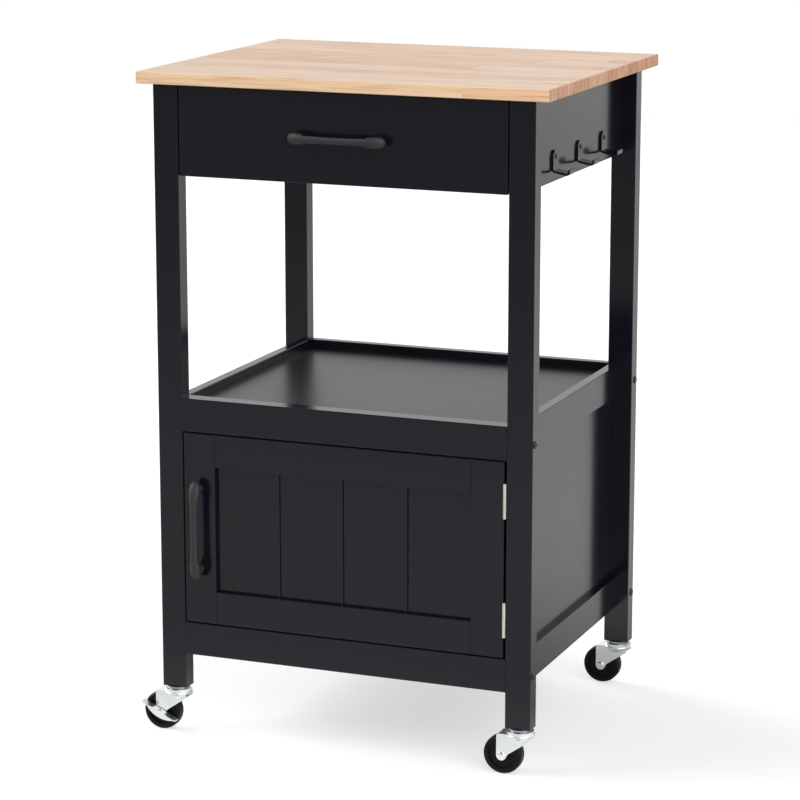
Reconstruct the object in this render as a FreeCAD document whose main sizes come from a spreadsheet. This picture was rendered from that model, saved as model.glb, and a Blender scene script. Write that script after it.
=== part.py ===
# Rolling kitchen island with one drawer, an open tray shelf and a cabinet with one door.
# Millimetres, +X to the right, +Z up, the front towards -Y.
# The origin is on the floor, under the middle of the worktop.
import FreeCAD, Part
import math
import os
import re
import Sketcher
from FreeCAD import Rotation, Vector

os.makedirs("parts", exist_ok=True)
doc = FreeCAD.newDocument("kitchen_island")

# Driving dimensions

SIZES = (
    # Worktop and frame
    ("worktop_width", 538),
    ("worktop_depth", 434),
    ("worktop_thick", 15),
    ("worktop_height", 850),
    ("worktop_ease", 1.5),
    ("side_overhang", 19.5),
    ("end_overhang", 8),
    ("leg_width", 33),
    ("leg_depth", 22),
    ("wood_ease", 1),
    ("rail_height", 42.5),
    ("bottom_rail_level", 106.5),
    ("tray_rail_level", 398.7),
    ("apron_height", 112.8),
    ("board_thick", 13.5),
    ("panel_thick", 4),
    ("panel_setback", 7.5),
    ("groove_depth", 5),
    ("groove_clearance", 0.2),
    ("shelf_thick", 12),
    ("shelf_lip", 11),
    ("cut_overrun", 2),
    # Frame bolts
    ("bolt_radius", 3),
    ("bolt_clearance", 0.2),
    ("bolt_reach", 58),
    ("bolt_end_gap", 4),
    ("bolt_inset", 8),
    ("bolt_head_radius", 5),
    ("bolt_head_rise", 1.6),
    # Drawer
    ("front_gap", 1.5),
    ("front_thick", 15),
    ("drawer_rear_gap", 31.5),
    ("drawer_side_thick", 12),
    ("drawer_side_rise", 9),
    ("drawer_side_drop", 19.8),
    ("drawer_side_gap", 3),
    ("drawer_back_thick", 12),
    ("drawer_bottom_thick", 4),
    ("drawer_bottom_rise", 10),
    ("runner_height", 14),
    ("runner_reach", 8),
    ("runner_rise", 40),
    ("runner_end_gap", 2),
    ("slide_clearance", 0.3),
    ("slide_side_clearance", 0.5),
    # Door
    ("door_frame_width", 42.3),
    ("door_thick", 15),
    ("door_panel_thick", 5),
    ("door_panel_recess", 7),
    ("door_groove_width", 3),
    ("door_groove_depth", 1.6),
    # Hinges
    ("hinge_length", 43),
    ("hinge_inset", 27),
    ("hinge_leaf_thick", 1),
    ("hinge_leaf_width", 14),
    ("hinge_leaf_gap", 1),
    ("hinge_stand", 2.2),
    ("hinge_knuckle_radius", 1.9),
    ("hinge_knuckle_gap", 0.3),
    ("hinge_sweep_gap", 0.5),
    ("hinge_pin_radius", 0.95),
    ("hinge_pin_clearance", 0.05),
    ("hinge_pin_head_radius", 1.6),
    ("hinge_pin_head_rise", 0.8),
    # Magnetic catch
    ("catch_width", 40),
    ("catch_depth", 10),
    ("catch_height", 12),
    ("catch_inset", 30),
    ("catch_gap", 0.3),
    ("strike_thick", 1),
    ("strike_width", 36),
    ("strike_height", 10),
    # Handles
    ("handle_length", 128),
    ("handle_end_length", 23),
    ("handle_end_height", 14.6),
    ("handle_end_depth", 15.5),
    ("handle_end_stand", 15),
    ("handle_bar_height", 10.4),
    ("handle_bar_waist", 8.8),
    ("handle_bar_depth", 7),
    ("handle_bar_stand", 19.5),
    ("handle_foot_radius", 4.6),
    ("handle_screw_depth", 11),
    ("screw_radius", 2),
    ("screw_clearance", 0.15),
    ("screw_head_radius", 4),
    ("screw_head_rise", 2.2),
    # Utensil hooks
    ("hook_width", 20),
    ("hook_thick", 2.6),
    ("hook_corner", 9),
    ("hook_height", 31),
    ("hook_reach", 24),
    ("hook_prong_fall", 4.5),
    ("hook_tip_rise", 8),
    ("hook_bend_radius", 2),
    ("hook_spacing", 95),
    ("hook_shift", 11),
    ("hook_top_drop", 73.5),
    ("hook_screw_drop", 8),
    ("hook_screw_depth", 10),
    # Casters
    ("caster_height", 61),
    ("caster_trail", 21),
    ("wheel_radius", 25),
    ("wheel_width", 17),
    ("wheel_shoulder", 4.5),
    ("wheel_hub_radius", 8.5),
    ("wheel_hub_extra", 0.5),
    ("wheel_dish_radius", 17.5),
    ("wheel_dish_depth", 2),
    ("axle_radius", 3),
    ("axle_clearance", 0.05),
    ("axle_head_radius", 4.6),
    ("axle_head_rise", 1.3),
    ("fork_clearance", 0.8),
    ("fork_metal", 1.6),
    ("fork_drop", 8),
    ("fork_cheek_radius", 6.4),
    ("fork_knee_reach", 8.8),
    ("fork_knee_rise", 2.4),
    ("fork_nose_reach", 15),
    ("fork_nose_drop", 6.5),
    ("fork_tail_corner", 3),
    ("flare_radius", 11.5),
    ("flare_drop", 8),
    ("crown_lip", 1),
    ("crown_radius", 17.2),
    ("crown_rise", 4.5),
    ("crown_recess", 3),
    ("race_radius", 14.6),
    ("race_thick", 3),
    ("race_boss_radius", 9),
    ("race_gap", 0.3),
    ("king_pin_radius", 4),
    ("king_pin_clearance", 0.05),
    ("king_head_radius", 6),
    ("king_head_rise", 2.2),
    ("stem_radius", 5),
    ("stem_length", 32),
    ("stem_clearance", 0.05),
    ("stem_end_gap", 3),
    # Brake levers
    ("lever_half_length", 26),
    ("lever_metal", 1.6),
    ("lever_top_rise", 4),
    ("lever_belly_drop", 8.6),
    ("lever_wing_length", 17.5),
    ("lever_wing_reach", 9.5),
    ("lever_wing_corner", 5),
    ("lever_gap", 0.4),
)

# Places that follow from the driving dimensions

PLACES = (
    ("frame_x", "worktop_width / 2 - side_overhang"),
    ("frame_y", "worktop_depth / 2 - end_overhang"),
    ("inner_x", "frame_x - leg_width"),
    ("inner_y", "frame_y - leg_depth"),
    ("under_top", "worktop_height - worktop_thick"),
    ("tray_top", "tray_rail_level + rail_height"),
    ("bottom_top", "bottom_rail_level + rail_height"),
    ("board_x", "inner_x + board_thick"),
    ("rear_board_y", "frame_y - board_thick"),
    ("apron_level", "under_top - apron_height"),
    ("cabinet_height", "tray_rail_level - bottom_top"),
    ("side_panel_x", "board_x - panel_setback - panel_thick"),
    ("back_panel_y", "frame_y - panel_setback - panel_thick"),
    ("groove_width", "panel_thick + 2 * groove_clearance"),
    ("bolt_y", "frame_y - bolt_inset"),
    ("bolt_hole_radius", "bolt_radius + bolt_clearance"),
    ("bolt_hole_depth", "bolt_reach - leg_width + bolt_end_gap"),
    # Drawer
    ("drawer_front_width", "2 * (inner_x - front_gap)"),
    ("drawer_front_height", "apron_height - front_gap"),
    ("drawer_box_y", "front_thick - frame_y"),
    ("drawer_length", "rear_board_y - drawer_rear_gap - drawer_box_y"),
    ("drawer_side_outer", "inner_x - drawer_side_gap"),
    ("drawer_side_inner", "drawer_side_outer - drawer_side_thick"),
    ("drawer_side_level", "apron_level + drawer_side_rise"),
    ("drawer_side_height", "apron_height - drawer_side_rise - drawer_side_drop"),
    ("drawer_bottom_level", "drawer_side_level + drawer_bottom_rise"),
    ("runner_level", "drawer_side_level + runner_rise"),
    ("slide_groove_depth", "runner_reach - drawer_side_gap + slide_side_clearance"),
    ("slide_groove_height", "runner_height + 2 * slide_clearance"),
    # Door and hinges
    ("hinge_gap", "2 * hinge_leaf_thick + hinge_leaf_gap"),
    ("door_left", "front_gap - inner_x"),
    ("door_right", "inner_x - hinge_gap"),
    ("door_width", "door_right - door_left"),
    ("door_level", "bottom_top + front_gap"),
    ("door_height", "cabinet_height - 2 * front_gap"),
    ("door_rail_length", "door_width - 2 * door_frame_width"),
    ("door_panel_height", "door_height - 2 * door_frame_width"),
    ("door_panel_y", "door_panel_recess - frame_y"),
    ("hinge_x", "inner_x - hinge_gap / 2"),
    ("hinge_y", "-frame_y - hinge_stand"),
    ("hinge_bore_radius", "hinge_pin_radius + hinge_pin_clearance"),
    ("hinge_plate_start", "hinge_knuckle_radius + hinge_sweep_gap"),
    # Handles and hooks
    ("handle_level", "apron_level + drawer_front_height / 2"),
    ("door_handle_x", "door_left + door_frame_width / 2"),
    ("door_handle_level", "door_level + door_height / 2"),
    ("handle_end_centre", "handle_length / 2 - handle_end_length / 2"),
    ("screw_hole_radius", "screw_radius + screw_clearance"),
    ("hook_top_level", "under_top - hook_top_drop"),
    ("hook_level", "hook_top_level - hook_height"),
    ("hook_fall_share", "hook_prong_fall / hook_reach"),
    ("hook_bend_outer", "hook_bend_radius + hook_thick"),
    # Casters
    ("caster_x", "frame_x - leg_width / 2"),
    ("caster_y", "frame_y - leg_depth / 2"),
    ("fork_top", "caster_height - fork_drop"),
    ("fork_under", "fork_top - fork_metal"),
    ("fork_inner_width", "wheel_width + 2 * fork_clearance"),
    ("fork_outer_width", "fork_inner_width + 2 * fork_metal"),
    ("crown_top", "fork_top + crown_rise"),
    ("crown_floor", "crown_top - crown_recess"),
    ("lever_y", "fork_outer_width / 2 + lever_gap + lever_metal"),
    ("lever_sag", "lever_top_rise - lever_metal + lever_belly_drop"),
    ("lever_arc_radius", "lever_half_length * lever_half_length / (2 * lever_sag) + lever_sag / 2"),
)

# The slope of each brake lever at rest, in degrees, with its trailing end up
LEVER_TILT = 25

# Number of planks that the door's panel shows, of hinge knuckles and of utensil hooks
PLANK_COUNT = 4
KNUCKLE_COUNT = 5
HOOK_COUNT = 3

# The four corners of the frame: name, side along X and end along Y
CORNERS = (
    ("front_left", -1, -1),
    ("front_right", 1, -1),
    ("rear_left", -1, 1),
    ("rear_right", 1, 1),
)
SIDES = (("left", -1), ("right", 1))
BRAKED_CORNERS = ("front_left", "rear_left")

# The most by which two equal lengths differ
SAME_LENGTH = 0.001

# The sheets and the expressions that read them

OWNERS = {}


def bound(text):
    """Return an expression in which each named size is read from its sheet."""
    return re.sub(r"[a-z_]+", lambda word: OWNERS.get(word.group(0), word.group(0)), text)


def fill_sheet(name, rows):
    """Make a sheet with one named value on each row."""
    sheet = doc.addObject("Spreadsheet::Sheet", name)
    for row, (alias, content) in enumerate(rows, 1):
        number = str(content)
        sheet.set(f"A{row}", alias)
        sheet.set(f"B{row}", f"={bound(number)}" if isinstance(content, str) else number)
        sheet.setAlias(f"B{row}", alias)
        OWNERS[alias] = f"{name}.{alias}"
    doc.recompute()
    return sheet


sizes = fill_sheet("Sizes", SIZES)
fill_sheet("Places", PLACES)


def value(text):
    """Work out an expression on the named sizes as a number."""
    result = sizes.evalExpression(bound(text))
    return float(getattr(result, "Value", result))


def drive(item, name, text):
    """Bind one property of an object to an expression."""
    item.setExpression(name, bound(text))


def place(item, x, y, z):
    """Bind an object's place to three expressions."""
    for axis, text in zip("xyz", (x, y, z)):
        drive(item, f"Placement.Base.{axis}", text)


# Bodies made from sketches


def new_body(name, x="0", y="0", z="0"):
    body = doc.addObject("PartDesign::Body", name)
    body.Label = name
    place(body, x, y, z)
    return body


def new_sketch(body, role, offset="0"):
    """Make a sketch on one of the body's own origin planes, moved along its normal."""
    sketch = body.newObject("Sketcher::SketchObject", f"{body.Name}_sketch")
    plane = next(item for item in body.Origin.OriginFeatures if item.Role == role)
    sketch.AttachmentSupport = [(plane, "")]
    sketch.MapMode = "FlatFace"
    drive(sketch, "AttachmentOffset.Base.z", offset)
    return sketch


def pin_point(sketch, edge, point, x, y):
    """Hold one point of a sketch at two expressions measured from its origin."""
    for kind, text in (("DistanceX", x), ("DistanceY", y)):
        row = sketch.addConstraint(Sketcher.Constraint(kind, -1, 1, edge, point, value(text)))
        sketch.setExpression(f"Constraints[{row}]", bound(text))


def draw_outline(sketch, points):
    """Draw a closed outline of straight lines through points given as expressions."""
    first = sketch.GeometryCount
    spots = [Vector(value(x), value(y), 0) for x, y in points]
    for start, end in zip(spots, spots[1:] + spots[:1]):
        sketch.addGeometry(Part.LineSegment(start, end), False)
    for step, (x, y) in enumerate(points):
        following = first + (step + 1) % len(points)
        sketch.addConstraint(Sketcher.Constraint("Coincident", first + step, 2, following, 1))
        pin_point(sketch, first + step, 1, x, y)


def draw_rectangle(sketch, x, y, width, height):
    """Draw a rectangle from its low corner."""
    right = f"{x} + {width}"
    top = f"{y} + {height}"
    draw_outline(sketch, ((x, y), (right, y), (right, top), (x, top)))


def draw_circle(sketch, x, y, radius):
    circle = Part.Circle(Vector(value(x), value(y), 0), Vector(0, 0, 1), value(radius))
    edge = sketch.addGeometry(circle, False)
    pin_point(sketch, edge, 3, x, y)
    row = sketch.addConstraint(Sketcher.Constraint("Radius", edge, value(radius)))
    sketch.setExpression(f"Constraints[{row}]", bound(radius))


def pad(body, sketch, length, middle=False):
    """Add material along the sketch's normal, or evenly on both of its sides."""
    feature = body.newObject("PartDesign::Pad", f"{body.Name}_pad")
    feature.Profile = sketch
    feature.SideType = "Symmetric" if middle else "One side"
    drive(feature, "Length", length)
    doc.recompute()
    return feature


def pocket(body, sketch, length, middle=False):
    """Cut along the sketch's normal, or evenly on both of its sides."""
    before = body.Shape.Volume
    feature = body.newObject("PartDesign::Pocket", f"{body.Name}_pocket")
    feature.Profile = sketch
    feature.Reversed = not middle
    feature.SideType = "Symmetric" if middle else "One side"
    drive(feature, "Length", length)
    doc.recompute()
    if not body.Shape.Volume < before:
        raise ValueError(f"a pocket of {body.Name} cuts nothing")
    return feature


def ease_edges(body, radius, chosen):
    """Round the edges of the body's last feature that a test picks."""
    tip = body.Tip
    edges = [f"Edge{row}" for row, edge in enumerate(tip.Shape.Edges, 1) if chosen(edge)]
    feature = body.newObject("PartDesign::Fillet", f"{body.Name}_ease")
    feature.Base = (tip, edges)
    drive(feature, "Radius", radius)
    doc.recompute()
    return feature


def along(axis):
    """Return a test for straight edges that run along an axis."""
    def test(edge):
        if not isinstance(edge.Curve, Part.Line):
            return False
        return abs(edge.tangentAt(edge.FirstParameter).dot(axis)) > math.cos(math.radians(1))
    return test


def is_straight(edge):
    return isinstance(edge.Curve, Part.Line)


ALONG_X = along(Vector(1, 0, 0))
ALONG_Y = along(Vector(0, 1, 0))
ALONG_Z = along(Vector(0, 0, 1))


def new_board(name, corner, extent, eased=None):
    """Make a board from its low corner and its extent, with eased edges if a test is given."""
    body = new_body(name, *corner)
    sketch = new_sketch(body, "XY_Plane")
    draw_rectangle(sketch, "0", "0", extent[0], extent[1])
    pad(body, sketch, extent[2])
    if eased:
        ease_edges(body, "wood_ease", eased)
    return body


def cut_box(body, corner, extent):
    """Cut a box out of a body, from the box's low corner in the body's own frame."""
    sketch = new_sketch(body, "XY_Plane", corner[2])
    draw_rectangle(sketch, corner[0], corner[1], extent[0], extent[1])
    pocket(body, sketch, extent[2])


def cut_round(body, role, x, y, radius, offset, length):
    """Cut a round hole along the normal of one of the body's origin planes."""
    sketch = new_sketch(body, role, offset)
    draw_circle(sketch, x, y, radius)
    pocket(body, sketch, length)


# Pieces made from primitives


def new_cylinder(name, radius, length, direction=Vector(0, 0, 1)):
    item = doc.addObject("Part::Cylinder", name)
    drive(item, "Radius", radius)
    drive(item, "Height", length)
    item.Placement.Rotation = Rotation(Vector(0, 0, 1), direction)
    return item


def new_dome(name, radius, rise, direction=Vector(0, 0, 1)):
    """Make half of a flattened ball, with its flat face towards the origin."""
    item = doc.addObject("Part::Ellipsoid", name)
    drive(item, "Radius1", rise)
    drive(item, "Radius2", radius)
    drive(item, "Radius3", radius)
    item.Angle1 = 0
    item.Placement.Rotation = Rotation(Vector(0, 0, 1), direction)
    return item


def join(name, items):
    """Fuse solids into one piece."""
    fused = doc.addObject("Part::MultiFuse", name)
    fused.Shapes = items
    fused.Label = name
    return fused


def subtract(name, base, tool):
    piece = doc.addObject("Part::Cut", name)
    piece.Base = base
    piece.Tool = tool
    piece.Label = name
    return piece


def new_group(name, items):
    """Keep identical pieces as separate solids of one sub-part."""
    group = doc.addObject("Part::Compound", name)
    group.Links = items
    group.Label = name
    return group


def new_screw(name, radius, length, head_radius, head_rise, heading):
    """Make a screw whose head's flat face is at the origin and whose dome faces the heading."""
    shank = new_cylinder(f"{name}_shank", radius, length, -heading)
    head = new_dome(f"{name}_head", head_radius, head_rise, heading)
    return join(name, [shank, head])


# Worktop and legs


def make_worktop():
    corner = ("-worktop_width / 2", "-worktop_depth / 2", "under_top")
    body = new_board("worktop", corner, ("worktop_width", "worktop_depth", "worktop_thick"))
    ease_edges(body, "worktop_ease", is_straight)
    return body


def groove_in_leg(body, u, v, width, depth, side, end):
    """Cut a panel groove as high as the panel, measured outwards from the leg's origin."""
    outline = [(u, v), (f"{u} + {width}", v), (f"{u} + {width}", f"{v} + {depth}"), (u, f"{v} + {depth}")]
    sketch = new_sketch(body, "XY_Plane", "bottom_top - groove_depth - caster_height")
    draw_outline(sketch, [(f"{side} * ({x})", f"{end} * ({y})") for x, y in outline])
    pocket(body, sketch, "cabinet_height + 2 * groove_depth")


def make_leg(corner, side, end):
    """Make a leg. Its own frame starts at the corner that faces the middle of the island."""
    body = new_body(f"leg_{corner}", f"{side} * inner_x", f"{end} * inner_y", "caster_height")
    sketch = new_sketch(body, "XY_Plane")
    outer_x = f"{side} * leg_width"
    outer_y = f"{end} * leg_depth"
    draw_outline(sketch, (("0", "0"), (outer_x, "0"), (outer_x, outer_y), ("0", outer_y)))
    pad(body, sketch, "under_top - caster_height")
    ease_edges(body, "wood_ease", ALONG_Z)
    bolt_holes = new_sketch(body, "YZ_Plane")
    for level in ("bottom_rail_level", "tray_rail_level"):
        height = f"{level} + rail_height / 2 - caster_height"
        draw_circle(bolt_holes, f"{end} * (bolt_y - inner_y)", height, "bolt_hole_radius")
    pocket(body, bolt_holes, "2 * (leg_width + cut_overrun)", middle=True)
    bore = (f"{side} * leg_width / 2", f"{end} * leg_depth / 2", "stem_radius + stem_clearance")
    cut_round(body, "XY_Plane", *bore, "0", "stem_length + stem_end_gap")
    panel_u = "side_panel_x - inner_x - groove_clearance"
    groove_in_leg(body, panel_u, "0", "groove_width", "groove_depth", side, end)
    if end > 0:
        panel_v = "back_panel_y - inner_y - groove_clearance"
        groove_in_leg(body, "0", panel_v, "groove_depth", "groove_width", side, end)
    return body


# Rails, aprons and panels


def make_front_rail(name, level):
    corner = ("-inner_x", "-frame_y", level)
    body = new_board(name, corner, ("2 * inner_x", "leg_depth", "rail_height"), ALONG_X)
    bore_rail_ends(body, "bolt_inset")
    return body


def make_rear_rail(name, level, groove_level):
    corner = ("-inner_x", "rear_board_y", level)
    body = new_board(name, corner, ("2 * inner_x", "board_thick", "rail_height"), ALONG_X)
    bore_rail_ends(body, "board_thick - bolt_inset")
    groove = ("0", "back_panel_y - rear_board_y - groove_clearance", groove_level)
    cut_box(body, groove, ("2 * inner_x", "groove_width", "groove_depth"))
    return body


def bore_rail_ends(body, y):
    """Bore a rail from both ends for the frame bolts."""
    for offset in ("0", "2 * inner_x - bolt_hole_depth"):
        cut_round(body, "YZ_Plane", y, "rail_height / 2", "bolt_hole_radius", offset, "bolt_hole_depth")


def outward(side, near, far):
    """Return the lower of two distances from the middle once they lie on one side of it."""
    return near if side > 0 else f"-({far})"


def make_side_rail(name, side, level, groove_level, shelf_level):
    """Make a side rail with a groove for the side panel and a housing for the shelf."""
    corner = (outward(side, "inner_x", "board_x"), "-inner_y", level)
    body = new_board(name, corner, ("board_thick", "2 * inner_y", "rail_height"), ALONG_Y)
    panel = "side_panel_x - inner_x - groove_clearance"
    panel_x = panel if side > 0 else f"board_thick - ({panel}) - groove_width"
    cut_box(body, (panel_x, "0", groove_level), ("groove_width", "2 * inner_y", "groove_depth"))
    shelf_x = "0" if side > 0 else "board_thick - groove_depth"
    shelf_z = f"{shelf_level} - ({level}) - groove_clearance"
    housing = ("groove_depth", "2 * inner_y", "shelf_thick + 2 * groove_clearance")
    cut_box(body, (shelf_x, "0", shelf_z), housing)
    return body


def make_shelf(name, level):
    """Make a shelf that runs into the side rails' housings and up to the front and rear rails."""
    body = new_body(name, "0", "0", level)
    wide = "inner_x + groove_depth - groove_clearance"
    sketch = new_sketch(body, "XY_Plane")
    draw_outline(sketch, (
        (f"-({wide})", "-inner_y"),
        (wide, "-inner_y"),
        (wide, "inner_y"),
        ("inner_x", "inner_y"),
        ("inner_x", "rear_board_y"),
        ("-inner_x", "rear_board_y"),
        ("-inner_x", "inner_y"),
        (f"-({wide})", "inner_y"),
    ))
    pad(body, sketch, "shelf_thick")
    return body


def make_panels():
    """Make the two side panels and the back panel of the cabinet, with their edges in grooves."""
    tongue = "groove_depth - groove_clearance"
    level = f"bottom_top - ({tongue})"
    height = f"cabinet_height + 2 * ({tongue})"
    for name, side in SIDES:
        corner = (outward(side, "side_panel_x", "side_panel_x + panel_thick"), f"-inner_y - ({tongue})", level)
        new_board(f"side_panel_{name}", corner, ("panel_thick", f"2 * (inner_y + {tongue})", height))
    corner = (f"-inner_x - ({tongue})", "back_panel_y", level)
    new_board("back_panel", corner, (f"2 * (inner_x + {tongue})", "panel_thick", height))


def make_frame_boards():
    make_front_rail("tray_front_rail", "tray_rail_level")
    make_front_rail("bottom_front_rail", "bottom_rail_level")
    make_rear_rail("tray_rear_rail", "tray_rail_level", "0")
    make_rear_rail("bottom_rear_rail", "bottom_rail_level", "rail_height - groove_depth")
    tray_shelf = "tray_top - shelf_lip - shelf_thick"
    cabinet_floor = "bottom_top - shelf_lip - shelf_thick"
    for name, side in SIDES:
        make_side_rail(f"tray_rail_{name}", side, "tray_rail_level", "0", tray_shelf)
        make_side_rail(
            f"bottom_rail_{name}", side, "bottom_rail_level", "rail_height - groove_depth", cabinet_floor)
        corner = (outward(side, "inner_x", "board_x"), "-inner_y", "apron_level")
        new_board(f"apron_{name}", corner, ("board_thick", "2 * inner_y", "apron_height"), ALONG_Y)
    rear_apron = ("-inner_x", "rear_board_y", "apron_level")
    new_board("apron_rear", rear_apron, ("2 * inner_x", "board_thick", "apron_height"), ALONG_X)
    make_shelf("tray_shelf", tray_shelf)
    make_shelf("cabinet_floor", cabinet_floor)
    make_panels()


def make_frame_bolts():
    """Make the bolts that run through the legs into the ends of the front and rear rails."""
    bolts = []
    for corner, side, end in CORNERS:
        for level in ("bottom_rail_level", "tray_rail_level"):
            heading = Vector(side, 0, 0)
            bolt = new_screw(
                f"bolt_{corner}_{level}", "bolt_radius", "bolt_reach",
                "bolt_head_radius", "bolt_head_rise", heading)
            place(bolt, f"{side} * frame_x", f"{end} * bolt_y", f"{level} + rail_height / 2")
            bolts.append(bolt)
    new_group("frame_bolts", bolts)


# Drawer


def make_runners():
    """Make the wooden runners, fixed to the side aprons, that the drawer's sides ride on."""
    for name, side in SIDES:
        corner = (
            outward(side, "inner_x - runner_reach", "inner_x"),
            "runner_end_gap - inner_y", "runner_level")
        new_board(f"runner_{name}", corner, ("runner_reach", "2 * (inner_y - runner_end_gap)", "runner_height"))


def make_drawer_side(name, side):
    corner = (outward(side, "drawer_side_inner", "drawer_side_outer"), "drawer_box_y", "drawer_side_level")
    extent = ("drawer_side_thick", "drawer_length", "drawer_side_height")
    body = new_board(f"drawer_side_{name}", corner, extent, ALONG_Y)
    slide_x = "drawer_side_thick - slide_groove_depth" if side > 0 else "0"
    cut_box(
        body, (slide_x, "0", "runner_rise - slide_clearance"),
        ("slide_groove_depth", "drawer_length", "slide_groove_height"))
    floor_x = "0" if side > 0 else "drawer_side_thick - groove_depth"
    cut_box(
        body, (floor_x, "0", "drawer_bottom_rise - groove_clearance"),
        ("groove_depth", "drawer_length", "drawer_bottom_thick + 2 * groove_clearance"))


def make_drawer_front():
    """Make the drawer front, with its handle's screw holes and a groove for the drawer's bottom."""
    corner = ("front_gap - inner_x", "-frame_y", "apron_level")
    extent = ("drawer_front_width", "front_thick", "drawer_front_height")
    body = new_board("drawer_front", corner, extent, is_straight)
    middle = "drawer_front_width / 2"
    for sign in ("-", "+"):
        x = f"{middle} {sign} handle_end_centre"
        sketch = new_sketch(body, "XZ_Plane")
        draw_circle(sketch, x, "drawer_front_height / 2", "screw_hole_radius")
        pocket(body, sketch, "2 * (front_thick + cut_overrun)", middle=True)
    groove_left = f"{middle} - drawer_side_inner - groove_depth"
    cut_box(
        body,
        (groove_left, "front_thick - groove_depth", "drawer_side_rise + drawer_bottom_rise - groove_clearance"),
        ("2 * (drawer_side_inner + groove_depth)", "groove_depth", "drawer_bottom_thick + 2 * groove_clearance"))


def make_drawer():
    make_runners()
    make_drawer_front()
    for name, side in SIDES:
        make_drawer_side(name, side)
    back_y = "drawer_box_y + drawer_length - drawer_back_thick"
    above_bottom = "drawer_bottom_level + drawer_bottom_thick"
    new_board(
        "drawer_back", ("-drawer_side_inner", back_y, above_bottom),
        ("2 * drawer_side_inner", "drawer_back_thick", f"drawer_side_level + drawer_side_height - ({above_bottom})"),
        ALONG_X)
    tongue = "groove_depth - groove_clearance"
    new_board(
        "drawer_bottom",
        (f"-drawer_side_inner - ({tongue})", f"drawer_box_y - ({tongue})", "drawer_bottom_level"),
        (f"2 * (drawer_side_inner + {tongue})", f"drawer_length + {tongue}", "drawer_bottom_thick"))


# Door


def make_door_frame():
    """Make the door's stiles and rails, grooved for its panel."""
    tongue_y = "door_panel_recess - groove_clearance"
    groove_y = "door_panel_thick + 2 * groove_clearance"
    for name, x, groove_x in (
            ("left", "door_left", "door_frame_width - groove_depth"),
            ("right", "door_right - door_frame_width", "0")):
        stile = new_board(
            f"door_stile_{name}", (x, "-frame_y", "door_level"),
            ("door_frame_width", "door_thick", "door_height"), is_straight)
        cut_box(
            stile, (groove_x, tongue_y, "door_frame_width - groove_depth"),
            ("groove_depth", groove_y, "door_panel_height + 2 * groove_depth"))
        if name == "left":
            bore_stile(stile)
    for name, z, groove_z in (
            ("bottom", "door_level", "door_frame_width - groove_depth"),
            ("top", "door_level + door_height - door_frame_width", "0")):
        rail = new_board(
            f"door_rail_{name}", ("door_left + door_frame_width", "-frame_y", z),
            ("door_rail_length", "door_thick", "door_frame_width"), is_straight)
        cut_box(rail, ("0", tongue_y, groove_z), ("door_rail_length", groove_y, "groove_depth"))


def bore_stile(stile):
    """Bore the left stile for the handle's two screws."""
    for sign in ("-", "+"):
        sketch = new_sketch(stile, "XZ_Plane")
        z = f"door_height / 2 {sign} handle_end_centre"
        draw_circle(sketch, "door_frame_width / 2", z, "screw_hole_radius")
        pocket(stile, sketch, "2 * (door_thick + cut_overrun)", middle=True)


def make_door_panel():
    """Make the door's panel, with V-grooves that part its face into equal planks."""
    tongue = "groove_depth - groove_clearance"
    body = new_board(
        "door_panel",
        (f"door_left + door_frame_width - ({tongue})", "door_panel_y", f"door_level + door_frame_width - ({tongue})"),
        (f"door_rail_length + 2 * ({tongue})", "door_panel_thick", f"door_panel_height + 2 * ({tongue})"))
    sketch = new_sketch(body, "XY_Plane")
    for number in range(1, PLANK_COUNT):
        middle = f"{tongue} + door_rail_length * {number} / {PLANK_COUNT}"
        draw_outline(sketch, (
            (f"{middle} - door_groove_width / 2", "0"),
            (f"{middle} + door_groove_width / 2", "0"),
            (middle, "door_groove_depth"),
        ))
    pocket(body, sketch, f"door_panel_height + 2 * ({tongue})")


# Hinges


def knuckle_band(number):
    """Return the low end and the length of one hinge knuckle."""
    low = f"hinge_length * {number} / {KNUCKLE_COUNT} + hinge_knuckle_gap / 2"
    return low, f"hinge_length / {KNUCKLE_COUNT} - hinge_knuckle_gap"


def make_leaf(name, side, numbers):
    """Make one hinge leaf about the hinge's axis. Its plate lies on one side of the axis."""
    body = new_body(name)
    plate_x = "hinge_leaf_gap / 2" if side > 0 else "-hinge_leaf_gap / 2 - hinge_leaf_thick"
    sketch = new_sketch(body, "XY_Plane")
    width = "hinge_leaf_width + hinge_stand - hinge_plate_start"
    draw_rectangle(sketch, plate_x, "hinge_plate_start", "hinge_leaf_thick", width)
    pad(body, sketch, "hinge_length")
    for number in numbers:
        low, length = knuckle_band(number)
        tab = new_sketch(body, "XY_Plane", low)
        draw_rectangle(tab, plate_x, "0", "hinge_leaf_thick", "hinge_plate_start + hinge_leaf_thick")
        pad(body, tab, length)
        roll = new_sketch(body, "XY_Plane", low)
        draw_circle(roll, "0", "0", "hinge_knuckle_radius")
        pad(body, roll, length)
    cut_round(body, "XY_Plane", "0", "0", "hinge_bore_radius", "0", "hinge_length")
    return body


def hinge_levels():
    """Return the low ends of the lower and the upper hinge."""
    lower = "door_level + hinge_inset"
    upper = "door_level + door_height - hinge_inset - hinge_length"
    return (("lower", lower), ("upper", upper))


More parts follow.
